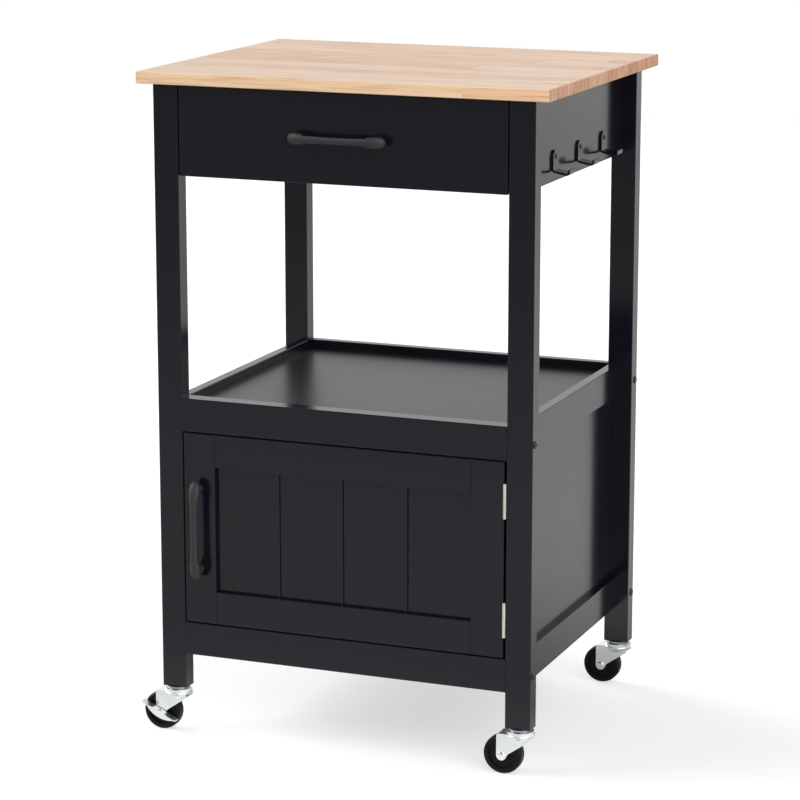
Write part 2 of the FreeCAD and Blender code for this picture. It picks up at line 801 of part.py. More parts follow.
def make_hinges():
    """Make two butt hinges: leaves on the right leg, leaves on the door, and their pins."""
    frame_leaves = []
    door_leaves = []
    pins = []
    for name, level in hinge_levels():
        frame_leaf = make_leaf(f"frame_leaf_{name}", 1, range(0, KNUCKLE_COUNT, 2))
        door_leaf = make_leaf(f"door_leaf_{name}", -1, range(1, KNUCKLE_COUNT, 2))
        shank = new_cylinder(f"hinge_pin_shank_{name}", "hinge_pin_radius", "hinge_length")
        top = new_dome(f"hinge_pin_top_{name}", "hinge_pin_head_radius", "hinge_pin_head_rise")
        foot = new_dome(
            f"hinge_pin_foot_{name}", "hinge_pin_head_radius", "hinge_pin_head_rise", Vector(0, 0, -1))
        place(top, "0", "0", "hinge_length")
        pin = join(f"hinge_pin_{name}", [shank, top, foot])
        for item in (frame_leaf, door_leaf, pin):
            place(item, "hinge_x", "hinge_y", level)
        frame_leaves.append(frame_leaf)
        door_leaves.append(door_leaf)
        pins.append(pin)
    new_group("hinge_leaves_frame", frame_leaves)
    new_group("hinge_leaves_door", door_leaves)
    new_group("hinge_pins", pins)


def make_catch():
    """Make the magnetic catch under the tray's front rail and the plate that it holds on the door."""
    catch_y = "door_thick - frame_y + strike_thick + catch_gap"
    new_board(
        "magnetic_catch", ("door_left + catch_inset", catch_y, "tray_rail_level - catch_height"),
        ("catch_width", "catch_depth", "catch_height"))
    strike_x = "door_left + catch_inset + catch_width / 2 - strike_width / 2"
    strike_z = "door_level + door_height - front_gap - strike_height"
    new_board(
        "strike_plate", (strike_x, "door_thick - frame_y", strike_z),
        ("strike_width", "strike_thick", "strike_height"))


# Handles


def make_handle_end(name, x):
    """Make one thick, egg-shaped end of a handle with the foot that stands on the wood."""
    egg = doc.addObject("Part::Ellipsoid", f"{name}_egg")
    drive(egg, "Radius1", "handle_end_height / 2")
    drive(egg, "Radius2", "handle_end_length / 2")
    drive(egg, "Radius3", "handle_end_depth / 2")
    place(egg, x, "-handle_end_stand", "0")
    foot = new_cylinder(f"{name}_foot", "handle_foot_radius", "handle_end_stand", Vector(0, -1, 0))
    place(foot, x, "0", "0")
    return [egg, foot]


def make_handle_bar(name):
    """Make the bar between the ends, slimmer in the middle."""
    sections = []
    for row, (x, height) in enumerate((
            ("-handle_end_centre", "handle_bar_height"),
            ("0", "handle_bar_waist"),
            ("handle_end_centre", "handle_bar_height"))):
        section = doc.addObject("Part::Ellipse", f"{name}_section_{row}")
        drive(section, "MajorRadius", f"{height} / 2")
        drive(section, "MinorRadius", "handle_bar_depth / 2")
        section.Placement.Rotation = Rotation(Vector(0, 1, 0), 90)
        place(section, x, "-handle_bar_stand", "0")
        sections.append(section)
    bar = doc.addObject("Part::Loft", f"{name}_bar")
    bar.Sections = sections
    bar.Solid = True
    return bar


def make_handle(name, turn, x, z):
    """Make a handle that stands on the front face, with blind holes for its two screws."""
    pieces = [make_handle_bar(name)]
    bores = []
    for row, centre in enumerate(("-handle_end_centre", "handle_end_centre")):
        pieces += make_handle_end(f"{name}_end_{row}", centre)
        bore = new_cylinder(f"{name}_bore_{row}", "screw_hole_radius", "handle_screw_depth", Vector(0, -1, 0))
        place(bore, centre, "0", "0")
        bores.append(bore)
    solid = join(f"{name}_solid", pieces)
    handle = subtract(name, solid, join(f"{name}_bores", bores))
    handle.Placement.Rotation = Rotation(Vector(0, 1, 0), turn)
    place(handle, x, "-frame_y", z)


def make_handle_screws(name, inner_face, spots):
    """Make the screws that hold a handle from behind."""
    screws = []
    for row, (x, z) in enumerate(spots):
        screw = new_screw(
            f"{name}_{row}", "screw_radius", "front_thick + handle_screw_depth - screw_clearance",
            "screw_head_radius", "screw_head_rise", Vector(0, 1, 0))
        place(screw, x, inner_face, z)
        screws.append(screw)
    new_group(name, screws)


def make_handles():
    make_handle("drawer_handle", 0, "0", "handle_level")
    make_handle("door_handle", 90, "door_handle_x", "door_handle_level")
    make_handle_screws(
        "drawer_handle_screws", "front_thick - frame_y",
        (("-handle_end_centre", "handle_level"), ("handle_end_centre", "handle_level")))
    make_handle_screws(
        "door_handle_screws", "door_thick - frame_y",
        (("door_handle_x", "door_handle_level - handle_end_centre"),
         ("door_handle_x", "door_handle_level + handle_end_centre")))


# Utensil hooks


def edges_at(spots):
    """Return a test for a hook's edges along Y that pass through spots given as expressions."""
    places = [(value(x), value(z)) for x, z in spots]
    near = value("hook_thick / 4")

    def test(edge):
        box = edge.BoundBox
        return ALONG_Y(edge) and any(
            abs(box.XMax - x) < near and abs(box.ZMax - z) < near for x, z in places)
    return test


def make_hook(name, y):
    """Make one hook: a plate on the apron, a prong that slants out from its foot, and a raised tip."""
    body = new_body(name, "board_x", y, "hook_level")
    plate_foot = ("hook_thick", "hook_prong_fall + hook_thick - hook_fall_share * hook_thick")
    tip_foot = (
        "hook_reach - hook_thick",
        "hook_prong_fall + hook_thick - hook_fall_share * (hook_reach - hook_thick)")
    sketch = new_sketch(body, "XZ_Plane")
    draw_outline(sketch, (
        ("0", "hook_prong_fall"),
        ("hook_reach", "0"),
        ("hook_reach", "hook_tip_rise"),
        ("hook_reach - hook_thick", "hook_tip_rise"),
        tip_foot,
        plate_foot,
        ("hook_thick", "hook_height"),
        ("0", "hook_height"),
    ))
    pad(body, sketch, "hook_width", middle=True)
    ease_edges(body, "hook_bend_outer", edges_at((("0", "hook_prong_fall"), ("hook_reach", "0"))))
    ease_edges(body, "hook_bend_radius", edges_at((plate_foot, tip_foot)))
    ease_edges(body, "hook_corner", is_plate_corner)
    bore = ("0", "hook_height - hook_screw_drop", "screw_hole_radius")
    cut_round(body, "YZ_Plane", *bore, "0", "hook_thick")
    return body


def is_plate_corner(edge):
    """Tell whether an edge is one of the two upper corners of a hook's plate."""
    return ALONG_X(edge) and edge.BoundBox.ZMin > value("hook_height / 2")


def make_hooks():
    """Make the row of hooks on the right apron and the screw that holds each."""
    apron = doc.getObject("apron_right")
    screw_level = "hook_top_level - hook_screw_drop"
    hole_depth = "hook_screw_depth + screw_clearance"
    hooks = []
    screws = []
    for number in range(HOOK_COUNT):
        y = f"hook_shift + hook_spacing * ({number} - {HOOK_COUNT - 1} / 2)"
        cut_round(
            apron, "YZ_Plane", f"{y} + inner_y", f"{screw_level} - apron_level",
            "screw_hole_radius", f"board_thick - ({hole_depth})", hole_depth)
        hooks.append(make_hook(f"hook_{number}", y))
        screw = new_screw(
            f"hook_screw_{number}", "screw_radius", "hook_screw_depth + hook_thick",
            "screw_head_radius", "screw_head_rise", Vector(1, 0, 0))
        place(screw, "board_x + hook_thick", y, screw_level)
        screws.append(screw)
    new_group("utensil_hooks", hooks)
    new_group("hook_screws", screws)


# Casters


def make_caster_stems():
    """Make the stem, top race and king pin of each caster, pressed into the legs."""
    stems = []
    for corner, side, end in CORNERS:
        stem = new_cylinder(f"stem_{corner}", "stem_radius", "stem_length")
        race = new_cylinder(f"race_{corner}", "race_radius", "race_thick", Vector(0, 0, -1))
        boss = new_cylinder(
            f"race_boss_{corner}", "race_boss_radius", "caster_height - crown_floor - race_gap", Vector(0, 0, -1))
        pin = new_cylinder(
            f"king_pin_{corner}", "king_pin_radius", "fork_drop + fork_metal + race_gap", Vector(0, 0, -1))
        head = new_cylinder(f"king_head_{corner}", "king_head_radius", "king_head_rise", Vector(0, 0, -1))
        place(head, "0", "0", "-fork_drop - fork_metal - race_gap")
        piece = join(f"caster_stem_{corner}", [stem, race, boss, pin, head])
        place(piece, f"{side} * caster_x", f"{end} * caster_y", "caster_height")
        stems.append(piece)
    new_group("caster_stems", stems)


def draw_cheek(sketch):
    """Draw the side of a fork: an upright tail, a round end at the axle, a knee and a slanted lead."""
    radius = value("fork_cheek_radius")
    axle = Vector(value("-caster_trail"), value("wheel_radius"), 0)
    knee = axle + Vector(value("fork_knee_reach"), value("fork_knee_rise"), 0)
    nose = Vector(value("fork_nose_reach"), value("fork_top - fork_nose_drop"), 0)
    lean = knee - axle
    swing = math.atan2(lean.y, lean.x) - math.acos(radius / lean.Length)
    touch = axle + Vector(radius * math.cos(swing), radius * math.sin(swing), 0)
    tail = Vector(axle.x - radius, axle.y, 0)
    top_left = Vector(tail.x, value("fork_top"), 0)
    top_right = Vector(nose.x, top_left.y, 0)
    foot = Part.ArcOfCircle(Part.Circle(axle, Vector(0, 0, 1), radius), math.pi, 2 * math.pi + swing)
    sketch.addGeometry(Part.LineSegment(top_left, tail), False)
    sketch.addGeometry(foot, False)
    for start, end in ((touch, knee), (knee, nose), (nose, top_right), (top_right, top_left)):
        sketch.addGeometry(Part.LineSegment(start, end), False)
    sketch.addConstraint(Sketcher.Constraint("Tangent", 0, 2, 1, 1))
    sketch.addConstraint(Sketcher.Constraint("Tangent", 1, 2, 2, 1))
    for edge in (2, 3, 4, 5):
        sketch.addConstraint(Sketcher.Constraint("Coincident", edge, 2, (edge + 1) % 6, 1))
    pin_point(sketch, 1, 3, "-caster_trail", "wheel_radius")
    pin_point(sketch, 2, 2, "fork_knee_reach - caster_trail", "wheel_radius + fork_knee_rise")
    pin_point(sketch, 3, 2, "fork_nose_reach", "fork_top - fork_nose_drop")
    pin_point(sketch, 5, 1, "fork_nose_reach", "fork_top")
    pin_point(sketch, 5, 2, "-caster_trail - fork_cheek_radius", "fork_top")
    row = sketch.addConstraint(Sketcher.Constraint("Radius", 1, radius))
    sketch.setExpression(f"Constraints[{row}]", bound("fork_cheek_radius"))


def turn_outline(body, points):
    """Turn an outline, given as distances from and along an upright axis, into a round solid."""
    sketch = new_sketch(body, "XZ_Plane")
    draw_outline(sketch, points)
    turned = body.newObject("PartDesign::Revolution", f"{body.Name}_turned")
    turned.Profile = sketch
    turned.ReferenceAxis = (sketch, ["V_Axis"])
    turned.Angle = 360
    doc.recompute()


def make_fork(corner, x, y):
    """Make a stamped fork: two cheeks, a flat bridge and a round crown with a ball race."""
    body = new_body(f"fork_{corner}", x, y, "0")
    cheeks = new_sketch(body, "XZ_Plane")
    draw_cheek(cheeks)
    pad(body, cheeks, "fork_outer_width", middle=True)
    ease_edges(body, "fork_tail_corner", is_tail_corner)
    turn_outline(body, (
        ("0", "fork_top - flare_drop"),
        ("flare_radius", "fork_top - flare_drop"),
        ("crown_radius + crown_lip", "fork_under"),
        ("crown_radius + crown_lip", "fork_top"),
        ("crown_radius", "fork_top"),
        ("crown_radius", "crown_top"),
        ("0", "crown_top"),
    ))
    length = "caster_trail + fork_cheek_radius + crown_radius + crown_lip + 2 * cut_overrun"
    cut_box(
        body, ("-caster_trail - fork_cheek_radius - cut_overrun", "-fork_inner_width / 2", "0"),
        (length, "fork_inner_width", "fork_under"))
    cut_round(body, "XY_Plane", "0", "0", "race_radius + race_gap", "crown_floor", "crown_recess")
    cut_round(body, "XY_Plane", "0", "0", "king_pin_radius + king_pin_clearance", "0", "crown_top")
    axle = new_sketch(body, "XZ_Plane")
    draw_circle(axle, "-caster_trail", "wheel_radius", "axle_radius + axle_clearance")
    pocket(body, axle, "fork_outer_width + 2 * cut_overrun", middle=True)


def is_tail_corner(edge):
    """Tell whether an edge is a fork's upper trailing corner, along Y."""
    if not ALONG_Y(edge):
        return False
    return edge.BoundBox.XMax < -value("caster_trail") and edge.BoundBox.ZMin > value("fork_under")


def make_wheel(corner, x, y):
    """Make a wheel with a dished face and rounded shoulders, about an axis along Y."""
    body = new_body(f"wheel_{corner}", x, y, "wheel_radius")
    hub = "wheel_width / 2 + wheel_hub_extra"
    rim = "wheel_width / 2"
    dish = "wheel_width / 2 - wheel_dish_depth"
    half = (
        ("axle_radius + axle_clearance", hub),
        ("wheel_hub_radius", hub),
        ("wheel_hub_radius", dish),
        ("wheel_dish_radius", dish),
        ("wheel_dish_radius", rim),
        ("wheel_radius", rim),
    )
    mirrored = [(radius, f"-({width})") for radius, width in reversed(half)]
    sketch = new_sketch(body, "XY_Plane")
    draw_outline(sketch, list(half) + mirrored)
    turned = body.newObject("PartDesign::Revolution", f"{body.Name}_turned")
    turned.Profile = sketch
    turned.ReferenceAxis = (sketch, ["V_Axis"])
    turned.Angle = 360
    doc.recompute()
    ease_edges(body, "wheel_shoulder", is_shoulder)


def is_shoulder(edge):
    """Tell whether an edge is one of a wheel's two outer circles."""
    return isinstance(edge.Curve, Part.Circle) and abs(edge.Curve.Radius - value("wheel_radius")) < SAME_LENGTH


def make_axle(corner, x, y, braked):
    """Make the riveted axle. Its front end also carries the brake lever where there is one."""
    reach = "lever_y" if braked else "fork_outer_width / 2"
    shank = new_cylinder(
        f"axle_shank_{corner}", "axle_radius", f"fork_outer_width / 2 + {reach}", Vector(0, 1, 0))
    front = new_dome(f"axle_front_{corner}", "axle_head_radius", "axle_head_rise", Vector(0, -1, 0))
    rear = new_dome(f"axle_rear_{corner}", "axle_head_radius", "axle_head_rise", Vector(0, 1, 0))
    place(shank, "0", f"-({reach})", "0")
    place(front, "0", f"-({reach})", "0")
    place(rear, "0", "fork_outer_width / 2", "0")
    axle = join(f"axle_{corner}", [shank, front, rear])
    place(axle, x, y, "wheel_radius")


def draw_web(sketch):
    """Draw a lever's web: a straight top edge, short upright ends and a round belly."""
    half = value("lever_half_length")
    top = value("lever_top_rise")
    edge_level = value("lever_top_rise - lever_metal")
    left = Vector(-half, edge_level, 0)
    right = Vector(half, edge_level, 0)
    belly = Part.Arc(left, Vector(0, value("-lever_belly_drop"), 0), right)
    sketch.addGeometry(belly, False)
    sketch.addGeometry(Part.LineSegment(right, Vector(half, top, 0)), False)
    sketch.addGeometry(Part.LineSegment(Vector(half, top, 0), Vector(-half, top, 0)), False)
    sketch.addGeometry(Part.LineSegment(Vector(-half, top, 0), left), False)
    for edge in (1, 2):
        sketch.addConstraint(Sketcher.Constraint("Coincident", edge, 2, edge + 1, 1))
    sketch.addConstraint(Sketcher.Constraint("Coincident", 0, 2, 1, 1))
    sketch.addConstraint(Sketcher.Constraint("Coincident", 3, 2, 0, 1))
    pin_point(sketch, 1, 1, "lever_half_length", "lever_top_rise - lever_metal")
    pin_point(sketch, 2, 1, "lever_half_length", "lever_top_rise")
    pin_point(sketch, 3, 1, "-lever_half_length", "lever_top_rise")
    pin_point(sketch, 3, 2, "-lever_half_length", "lever_top_rise - lever_metal")
    row = sketch.addConstraint(Sketcher.Constraint("Radius", 0, value("lever_arc_radius")))
    sketch.setExpression(f"Constraints[{row}]", bound("lever_arc_radius"))


def is_wing_corner(edge):
    """Tell whether an edge is an outer corner of one of a lever's two wings."""
    return ALONG_Z(edge) and edge.BoundBox.YMax < value("-lever_wing_reach / 2")


def make_lever(corner, x, y):
    """Make a rocking brake lever: a round-bellied web on the axle with two bent-out foot wings."""
    body = new_body(f"brake_lever_{corner}", x, f"{y} - lever_y", "wheel_radius")
    body.Placement.Rotation = Rotation(Vector(0, 1, 0), LEVER_TILT)
    web = new_sketch(body, "XZ_Plane", "-lever_metal")
    draw_web(web)
    pad(body, web, "lever_metal")
    for left in ("-lever_half_length", "lever_half_length - lever_wing_length"):
        wing = new_sketch(body, "XY_Plane", "lever_top_rise - lever_metal")
        draw_rectangle(wing, left, "-lever_wing_reach", "lever_wing_length", "lever_wing_reach + lever_metal")
        pad(body, wing, "lever_metal")
    ease_edges(body, "lever_wing_corner", is_wing_corner)
    bore = new_sketch(body, "XZ_Plane")
    draw_circle(bore, "0", "0", "axle_radius + axle_clearance")
    pocket(body, bore, "2 * (lever_metal + cut_overrun)", middle=True)


def make_casters():
    make_caster_stems()
    for corner, side, end in CORNERS:
        stem_x = f"{side} * caster_x"
        y = f"{end} * caster_y"
        make_fork(corner, stem_x, y)
        make_wheel(corner, f"{stem_x} - caster_trail", y)
        make_axle(corner, f"{stem_x} - caster_trail", y, corner in BRAKED_CORNERS)
        if corner in BRAKED_CORNERS:
            make_lever(corner, f"{stem_x} - caster_trail", y)


# The whole island

SUB_PARTS = (
    ["worktop", "tray_shelf", "cabinet_floor", "back_panel", "apron_rear"]
    + ["tray_front_rail", "tray_rear_rail", "bottom_front_rail", "bottom_rear_rail"]
    + [f"{kind}_{side}" for kind in (
        "apron", "tray_rail", "bottom_rail", "side_panel", "runner", "drawer_side", "door_stile")
        for side, sign in SIDES]
    + [f"{kind}_{corner}" for kind in ("leg", "fork", "wheel", "axle") for corner, side, end in CORNERS]
    + [f"brake_lever_{corner}" for corner in BRAKED_CORNERS]
    + ["frame_bolts", "caster_stems", "utensil_hooks", "hook_screws"]
    + ["drawer_front", "drawer_back", "drawer_bottom", "drawer_handle", "drawer_handle_screws"]
    + ["door_rail_top", "door_rail_bottom", "door_panel", "door_handle", "door_handle_screws"]
    + ["hinge_leaves_frame", "hinge_leaves_door", "hinge_pins", "magnetic_catch", "strike_plate"]
)


def check_and_export():
    """Check every object and sub-part, then write one STEP file for each sub-part."""
    doc.recompute()
    for item in doc.Objects:
        if "Invalid" in item.State or "Error" in item.State:
            raise ValueError(f"{item.Label} did not recompute")
    for label in SUB_PARTS:
        shape = doc.getObjectsByLabel(label)[0].Shape
        if shape.isNull() or not shape.isValid() or not shape.Solids:
            raise ValueError(f"{label} has no valid shape")
    for label in SUB_PARTS:
        doc.getObjectsByLabel(label)[0].Shape.exportStep(f"parts/{label}.step")


make_worktop()
for corner_name, corner_side, corner_end in CORNERS:
    make_leg(corner_name, corner_side, corner_end)
make_frame_boards()
make_frame_bolts()
make_drawer()
make_door_frame()
make_door_panel()
make_hinges()
make_catch()
make_handles()
make_hooks()
make_casters()
check_and_export()
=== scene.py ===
import math

import bmesh
import bpy
from mathutils import Matrix, Vector


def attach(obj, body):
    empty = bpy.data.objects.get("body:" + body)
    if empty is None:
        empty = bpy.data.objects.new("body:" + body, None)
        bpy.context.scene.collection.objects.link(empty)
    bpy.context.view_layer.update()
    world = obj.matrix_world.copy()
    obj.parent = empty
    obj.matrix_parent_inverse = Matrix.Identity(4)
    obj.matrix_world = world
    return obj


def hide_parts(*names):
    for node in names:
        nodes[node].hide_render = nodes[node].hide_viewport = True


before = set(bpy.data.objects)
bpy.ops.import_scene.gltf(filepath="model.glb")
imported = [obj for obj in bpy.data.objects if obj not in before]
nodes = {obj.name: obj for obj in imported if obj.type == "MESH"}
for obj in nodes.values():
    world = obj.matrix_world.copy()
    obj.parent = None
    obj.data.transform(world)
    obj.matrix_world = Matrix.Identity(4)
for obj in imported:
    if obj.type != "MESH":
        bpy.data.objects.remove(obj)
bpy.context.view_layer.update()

MM = 0.001
CORNERS = {
    "front_left": (-1, -1), "front_right": (1, -1), "rear_left": (-1, 1), "rear_right": (1, 1)}

# Places on the island in millimetres: X from its middle to the right, Y to the rear, Z from the
# floor up
LEG_SIDE = 249.5
BOLT_ROW = 201
RAIL_MIDDLES = (127.75, 419.95)
FRONT_FACE = -209
DRAWER_PULL_HEIGHT = 777.85
DOOR_PULL = (-193.85, 273.85)
HOOK_FACE = 232.6
HOOK_SCREW_ROWS = (-84, 11, 106)
HOOK_SCREW_HEIGHT = 753.5
HINGE_MIDDLES = (199, 348.7)
HINGE_SCREW_REACH = 13
HINGE_SCREW_ROW = -201.5
LEG_LEAF_FACE = 215.5
DOOR_LEAF_FACE = 214.5
CATCH_MIDDLE = -165
STRIKE_FACE = -193.1
STRIKE_HEIGHT = 390.7
POLE_ROW = -192
POLE_HEIGHTS = (388.2, 397.2)
POLE_SIZE = (34, 1.7, 1.4)


# Camera: a long lens that looks down at the front from its right


def make_camera():
    data = bpy.data.cameras.new("studio_camera")
    camera = bpy.data.objects.new("studio_camera", data)
    bpy.context.scene.collection.objects.link(camera)
    turn = 0.3790
    tilt = 0.2186
    camera.location = (1.3943, -3.5140, 1.2533)
    camera.rotation_euler = (math.pi / 2 - tilt, 0, turn)
    data.sensor_width = 36
    data.lens = 134.7
    data.clip_end = 100
    bpy.context.scene.camera = camera


# Materials


def paint(code):
    """Turn an sRGB hex value to a linear colour."""
    parts = [int(code[place:place + 2], 16) / 255 for place in (1, 3, 5)]
    linear = [
        part / 12.92 if part <= 0.04045 else ((part + 0.055) / 1.055) ** 2.4 for part in parts]
    return (*linear, 1)


def add(tree, kind, inputs=None, **settings):
    """Add a node with its settings, and set or link its inputs. A Mix node mixes numbers from
    its inputs 2 and 3, and colours from 6 and 7."""
    node = tree.nodes.new(kind)
    for name, setting in settings.items():
        setattr(node, name, setting)
    for name, source in (inputs or {}).items():
        if isinstance(source, bpy.types.NodeSocket):
            tree.links.new(source, node.inputs[name])
        else:
            node.inputs[name].default_value = source
    return node


def new_material(name):
    """Make a material, and return it with its empty tree and its Object coordinates."""
    material = bpy.data.materials.new(name)
    material.use_nodes = True
    tree = material.node_tree
    tree.nodes.clear()
    return material, tree, add(tree, "ShaderNodeTexCoord").outputs["Object"]


def close(tree, inputs):
    """End a tree with a surface that has these inputs."""
    surface = add(tree, "ShaderNodeBsdfPrincipled", inputs)
    add(tree, "ShaderNodeOutputMaterial", {"Surface": surface.outputs[0]})


def oiled_rubberwood():
    """Finger-jointed rubberwood staves, sanded and oiled: pale and pinkish on top, honey along
    the front edge, and darker where the staves show their end grain."""
    material, tree, place = new_material("oiled_rubberwood_staves")
    # A face that looks along X is an end, one that looks along Y an edge, and others the top
    side = add(tree, "ShaderNodeNewGeometry").outputs["Normal"]
    side = add(tree, "ShaderNodeSeparateXYZ", {"Vector": side})
    across = add(tree, "ShaderNodeMath", {0: side.outputs["X"]}, operation="ABSOLUTE").outputs[0]
    ahead = add(tree, "ShaderNodeMath", {0: side.outputs["Y"]}, operation="ABSOLUTE").outputs[0]
    on_end = add(
        tree, "ShaderNodeMath", {0: across, 1: 0.6}, operation="GREATER_THAN").outputs[0]
    on_edge = add(
        tree, "ShaderNodeMath", {0: ahead, 1: 0.6}, operation="GREATER_THAN").outputs[0]
    # Ten rows of staves 43.45 mm wide and about 360 mm long, each stave with a tone of its own.
    # The rows start at the front edge.
    laid = add(
        tree, "ShaderNodeMapping",
        {"Vector": place, "Location": (123.5 * MM, 217.5 * MM, 0)}).outputs[0]
    stave = add(
        tree, "ShaderNodeTexBrick",
        {"Vector": laid, "Color1": (0, 0, 0, 1), "Color2": (1, 1, 1, 1), "Scale": 1,
         "Mortar Size": 0, "Bias": 0, "Brick Width": 360 * MM, "Row Height": 43.45 * MM},
        offset=0.37, offset_frequency=2, squash=1.25, squash_frequency=3).outputs["Color"]
    tone = add(tree, "ShaderNodeSeparateColor", {"Color": stave}).outputs[0]
    # Figure about 300 mm long and 17 mm wide along the staves, shifted from stave to stave
    shift = add(tree, "ShaderNodeCombineXYZ", {"X": tone, "Y": tone, "Z": tone}).outputs[0]
    shift = add(
        tree, "ShaderNodeVectorMath", {0: shift, "Scale": 1.7}, operation="SCALE").outputs[0]
    moved = add(tree, "ShaderNodeVectorMath", {0: place, 1: shift}, operation="ADD").outputs[0]
    drawn = add(tree, "ShaderNodeMapping", {"Vector": moved, "Scale": (3.2, 60, 60)}).outputs[0]
    figure = add(
        tree, "ShaderNodeTexNoise",
        {"Vector": drawn, "Scale": 1, "Detail": 5, "Roughness": 0.6, "Distortion": 0.5}).outputs[0]
    # Pores are brown dashes up to 90 mm long, about 2 mm apart. They are drawn 5 mm apart across
    # the top, because it is seen at a flat angle and finer ones would not show.
    drawn = add(tree, "ShaderNodeMapping", {"Vector": moved, "Scale": (12, 190, 400)}).outputs[0]
    pores = add(tree, "ShaderNodeTexNoise", {"Vector": drawn, "Scale": 1, "Detail": 3}).outputs[0]
    # At the end the grain is cut across, and shows as upright streaks
    drawn = add(tree, "ShaderNodeMapping", {"Vector": moved, "Scale": (1, 230, 14)}).outputs[0]
    cut = add(tree, "ShaderNodeTexNoise", {"Vector": drawn, "Scale": 1, "Detail": 3}).outputs[0]
    faces = []
    for light, dark, streak, mark, low, high, depth in (
            ("#DDC5B0", "#D1B095", "#B27A50", pores, 0.50, 0.72, 0.46),
            ("#EEC49A", "#F8E3C7", "#C08D58", pores, 0.50, 0.70, 0.55),
            ("#D9AD8B", "#C08966", "#8F5C40", cut, 0.42, 0.68, 0.60)):
        board = add(
            tree, "ShaderNodeMix", {"Factor": tone, 6: paint(light), 7: paint(dark)},
            data_type="RGBA").outputs[2]
        amount = add(
            tree, "ShaderNodeMapRange",
            {"Value": mark, "From Min": low, "From Max": high, "To Max": depth}).outputs[0]
        faces.append(add(
            tree, "ShaderNodeMix", {"Factor": amount, 6: board, 7: paint(streak)},
            data_type="RGBA").outputs[2])
    top, edge, end = faces
    wood = add(
        tree, "ShaderNodeMix", {"Factor": on_edge, 6: top, 7: edge}, data_type="RGBA").outputs[2]
    wood = add(
        tree, "ShaderNodeMix", {"Factor": on_end, 6: wood, 7: end}, data_type="RGBA").outputs[2]
    shade = add(
        tree, "ShaderNodeMapRange",
        {"Value": figure, "From Min": 0.34, "From Max": 0.66, "To Min": 1.05,
         "To Max": 0.91}).outputs[0]
    wood = add(
        tree, "ShaderNodeVectorMath", {0: wood, "Scale": shade}, operation="SCALE").outputs[0]
    bump = add(
        tree, "ShaderNodeBump",
        {"Strength": 0.08, "Distance": 0.3 * MM, "Height": pores}).outputs[0]
    close(tree, {
        "Base Color": wood, "Roughness": 0.45, "Specular IOR Level": 0.22, "Normal": bump})
    return material


def black_lacquer(name, stretch):
    """Sprayed black lacquer on planed wood: semi-gloss, with the wood's grain just telegraphing
    through along the board. Stretch is the grain's cells per metre along X, Y and Z."""
    material, tree, place = new_material(name)
    # Grain lines 1 to 2 mm apart are drawn 4 mm apart, because finer ones would not show
    drawn = add(tree, "ShaderNodeMapping", {"Vector": place, "Scale": stretch}).outputs[0]
    grain = add(
        tree, "ShaderNodeTexNoise",
        {"Vector": drawn, "Scale": 1, "Detail": 6, "Roughness": 0.65,
         "Distortion": 0.3}).outputs[0]
    # Spray texture about 2 mm across
    spray = add(
        tree, "ShaderNodeTexNoise", {"Vector": place, "Scale": 420, "Detail": 2}).outputs[0]
    mixed = add(
        tree, "ShaderNodeMath", {0: spray, 1: 0.35, 2: grain},
        operation="MULTIPLY_ADD").outputs[0]
    bump = add(
        tree, "ShaderNodeBump",
        {"Strength": 0.05, "Distance": 0.1 * MM, "Height": mixed}).outputs[0]
    sheen = add(
        tree, "ShaderNodeMapRange",
        {"Value": grain, "From Min": 0.3, "From Max": 0.7, "To Min": 0.13,
         "To Max": 0.19}).outputs[0]
    tint = add(
        tree, "ShaderNodeMix",
        {"Factor": grain, 6: paint("#100D17"), 7: paint("#13111A")}, data_type="RGBA").outputs[2]
    close(tree, {"Base Color": tint, "Roughness": sheen, "IOR": 1.5, "Normal": bump})
    return material


def matt_board():
    """Melamine-faced board, matt black: an even, finely pearled face."""
    material, tree, place = new_material("matt_black_melamine_board")
    # The pearl is about 0.3 mm across, and is drawn 1.4 mm across so that it shows
    pearl = add(
        tree, "ShaderNodeTexNoise", {"Vector": place, "Scale": 700, "Detail": 2}).outputs[0]
    tint = add(
        tree, "ShaderNodeMix",
        {"Factor": pearl, 6: paint("#0F0D14"), 7: paint("#141219")}, data_type="RGBA").outputs[2]
    bump = add(
        tree, "ShaderNodeBump",
        {"Strength": 0.1, "Distance": 0.1 * MM, "Height": pearl}).outputs[0]
    close(tree, {
        "Base Color": tint, "Roughness": 0.3, "Specular IOR Level": 0.3, "Normal": bump})
    return material


def sealed_wood(name, light, dark, stretch):
    """Sealed pale wood: fine straight grain with faint darker rings. Stretch is the grain's
    cells per metre along X, Y and Z."""
    material, tree, place = new_material(name)
    # Rings 8 mm apart in the pine and 17 mm in the plywood's rotary-cut face
    drawn = add(tree, "ShaderNodeMapping", {"Vector": place, "Scale": stretch}).outputs[0]
    grain = add(
        tree, "ShaderNodeTexNoise",
        {"Vector": drawn, "Scale": 1, "Detail": 6, "Roughness": 0.6, "Distortion": 0.8}).outputs[0]
    wood = add(
        tree, "ShaderNodeMix",
        {"Factor": grain, 6: paint(light), 7: paint(dark)}, data_type="RGBA").outputs[2]
    bump = add(
        tree, "ShaderNodeBump",
        {"Strength": 0.1, "Distance": 0.2 * MM, "Height": grain}).outputs[0]
    close(tree, {"Base Color": wood, "Roughness": 0.5, "IOR": 1.47, "Normal": bump})
    return material


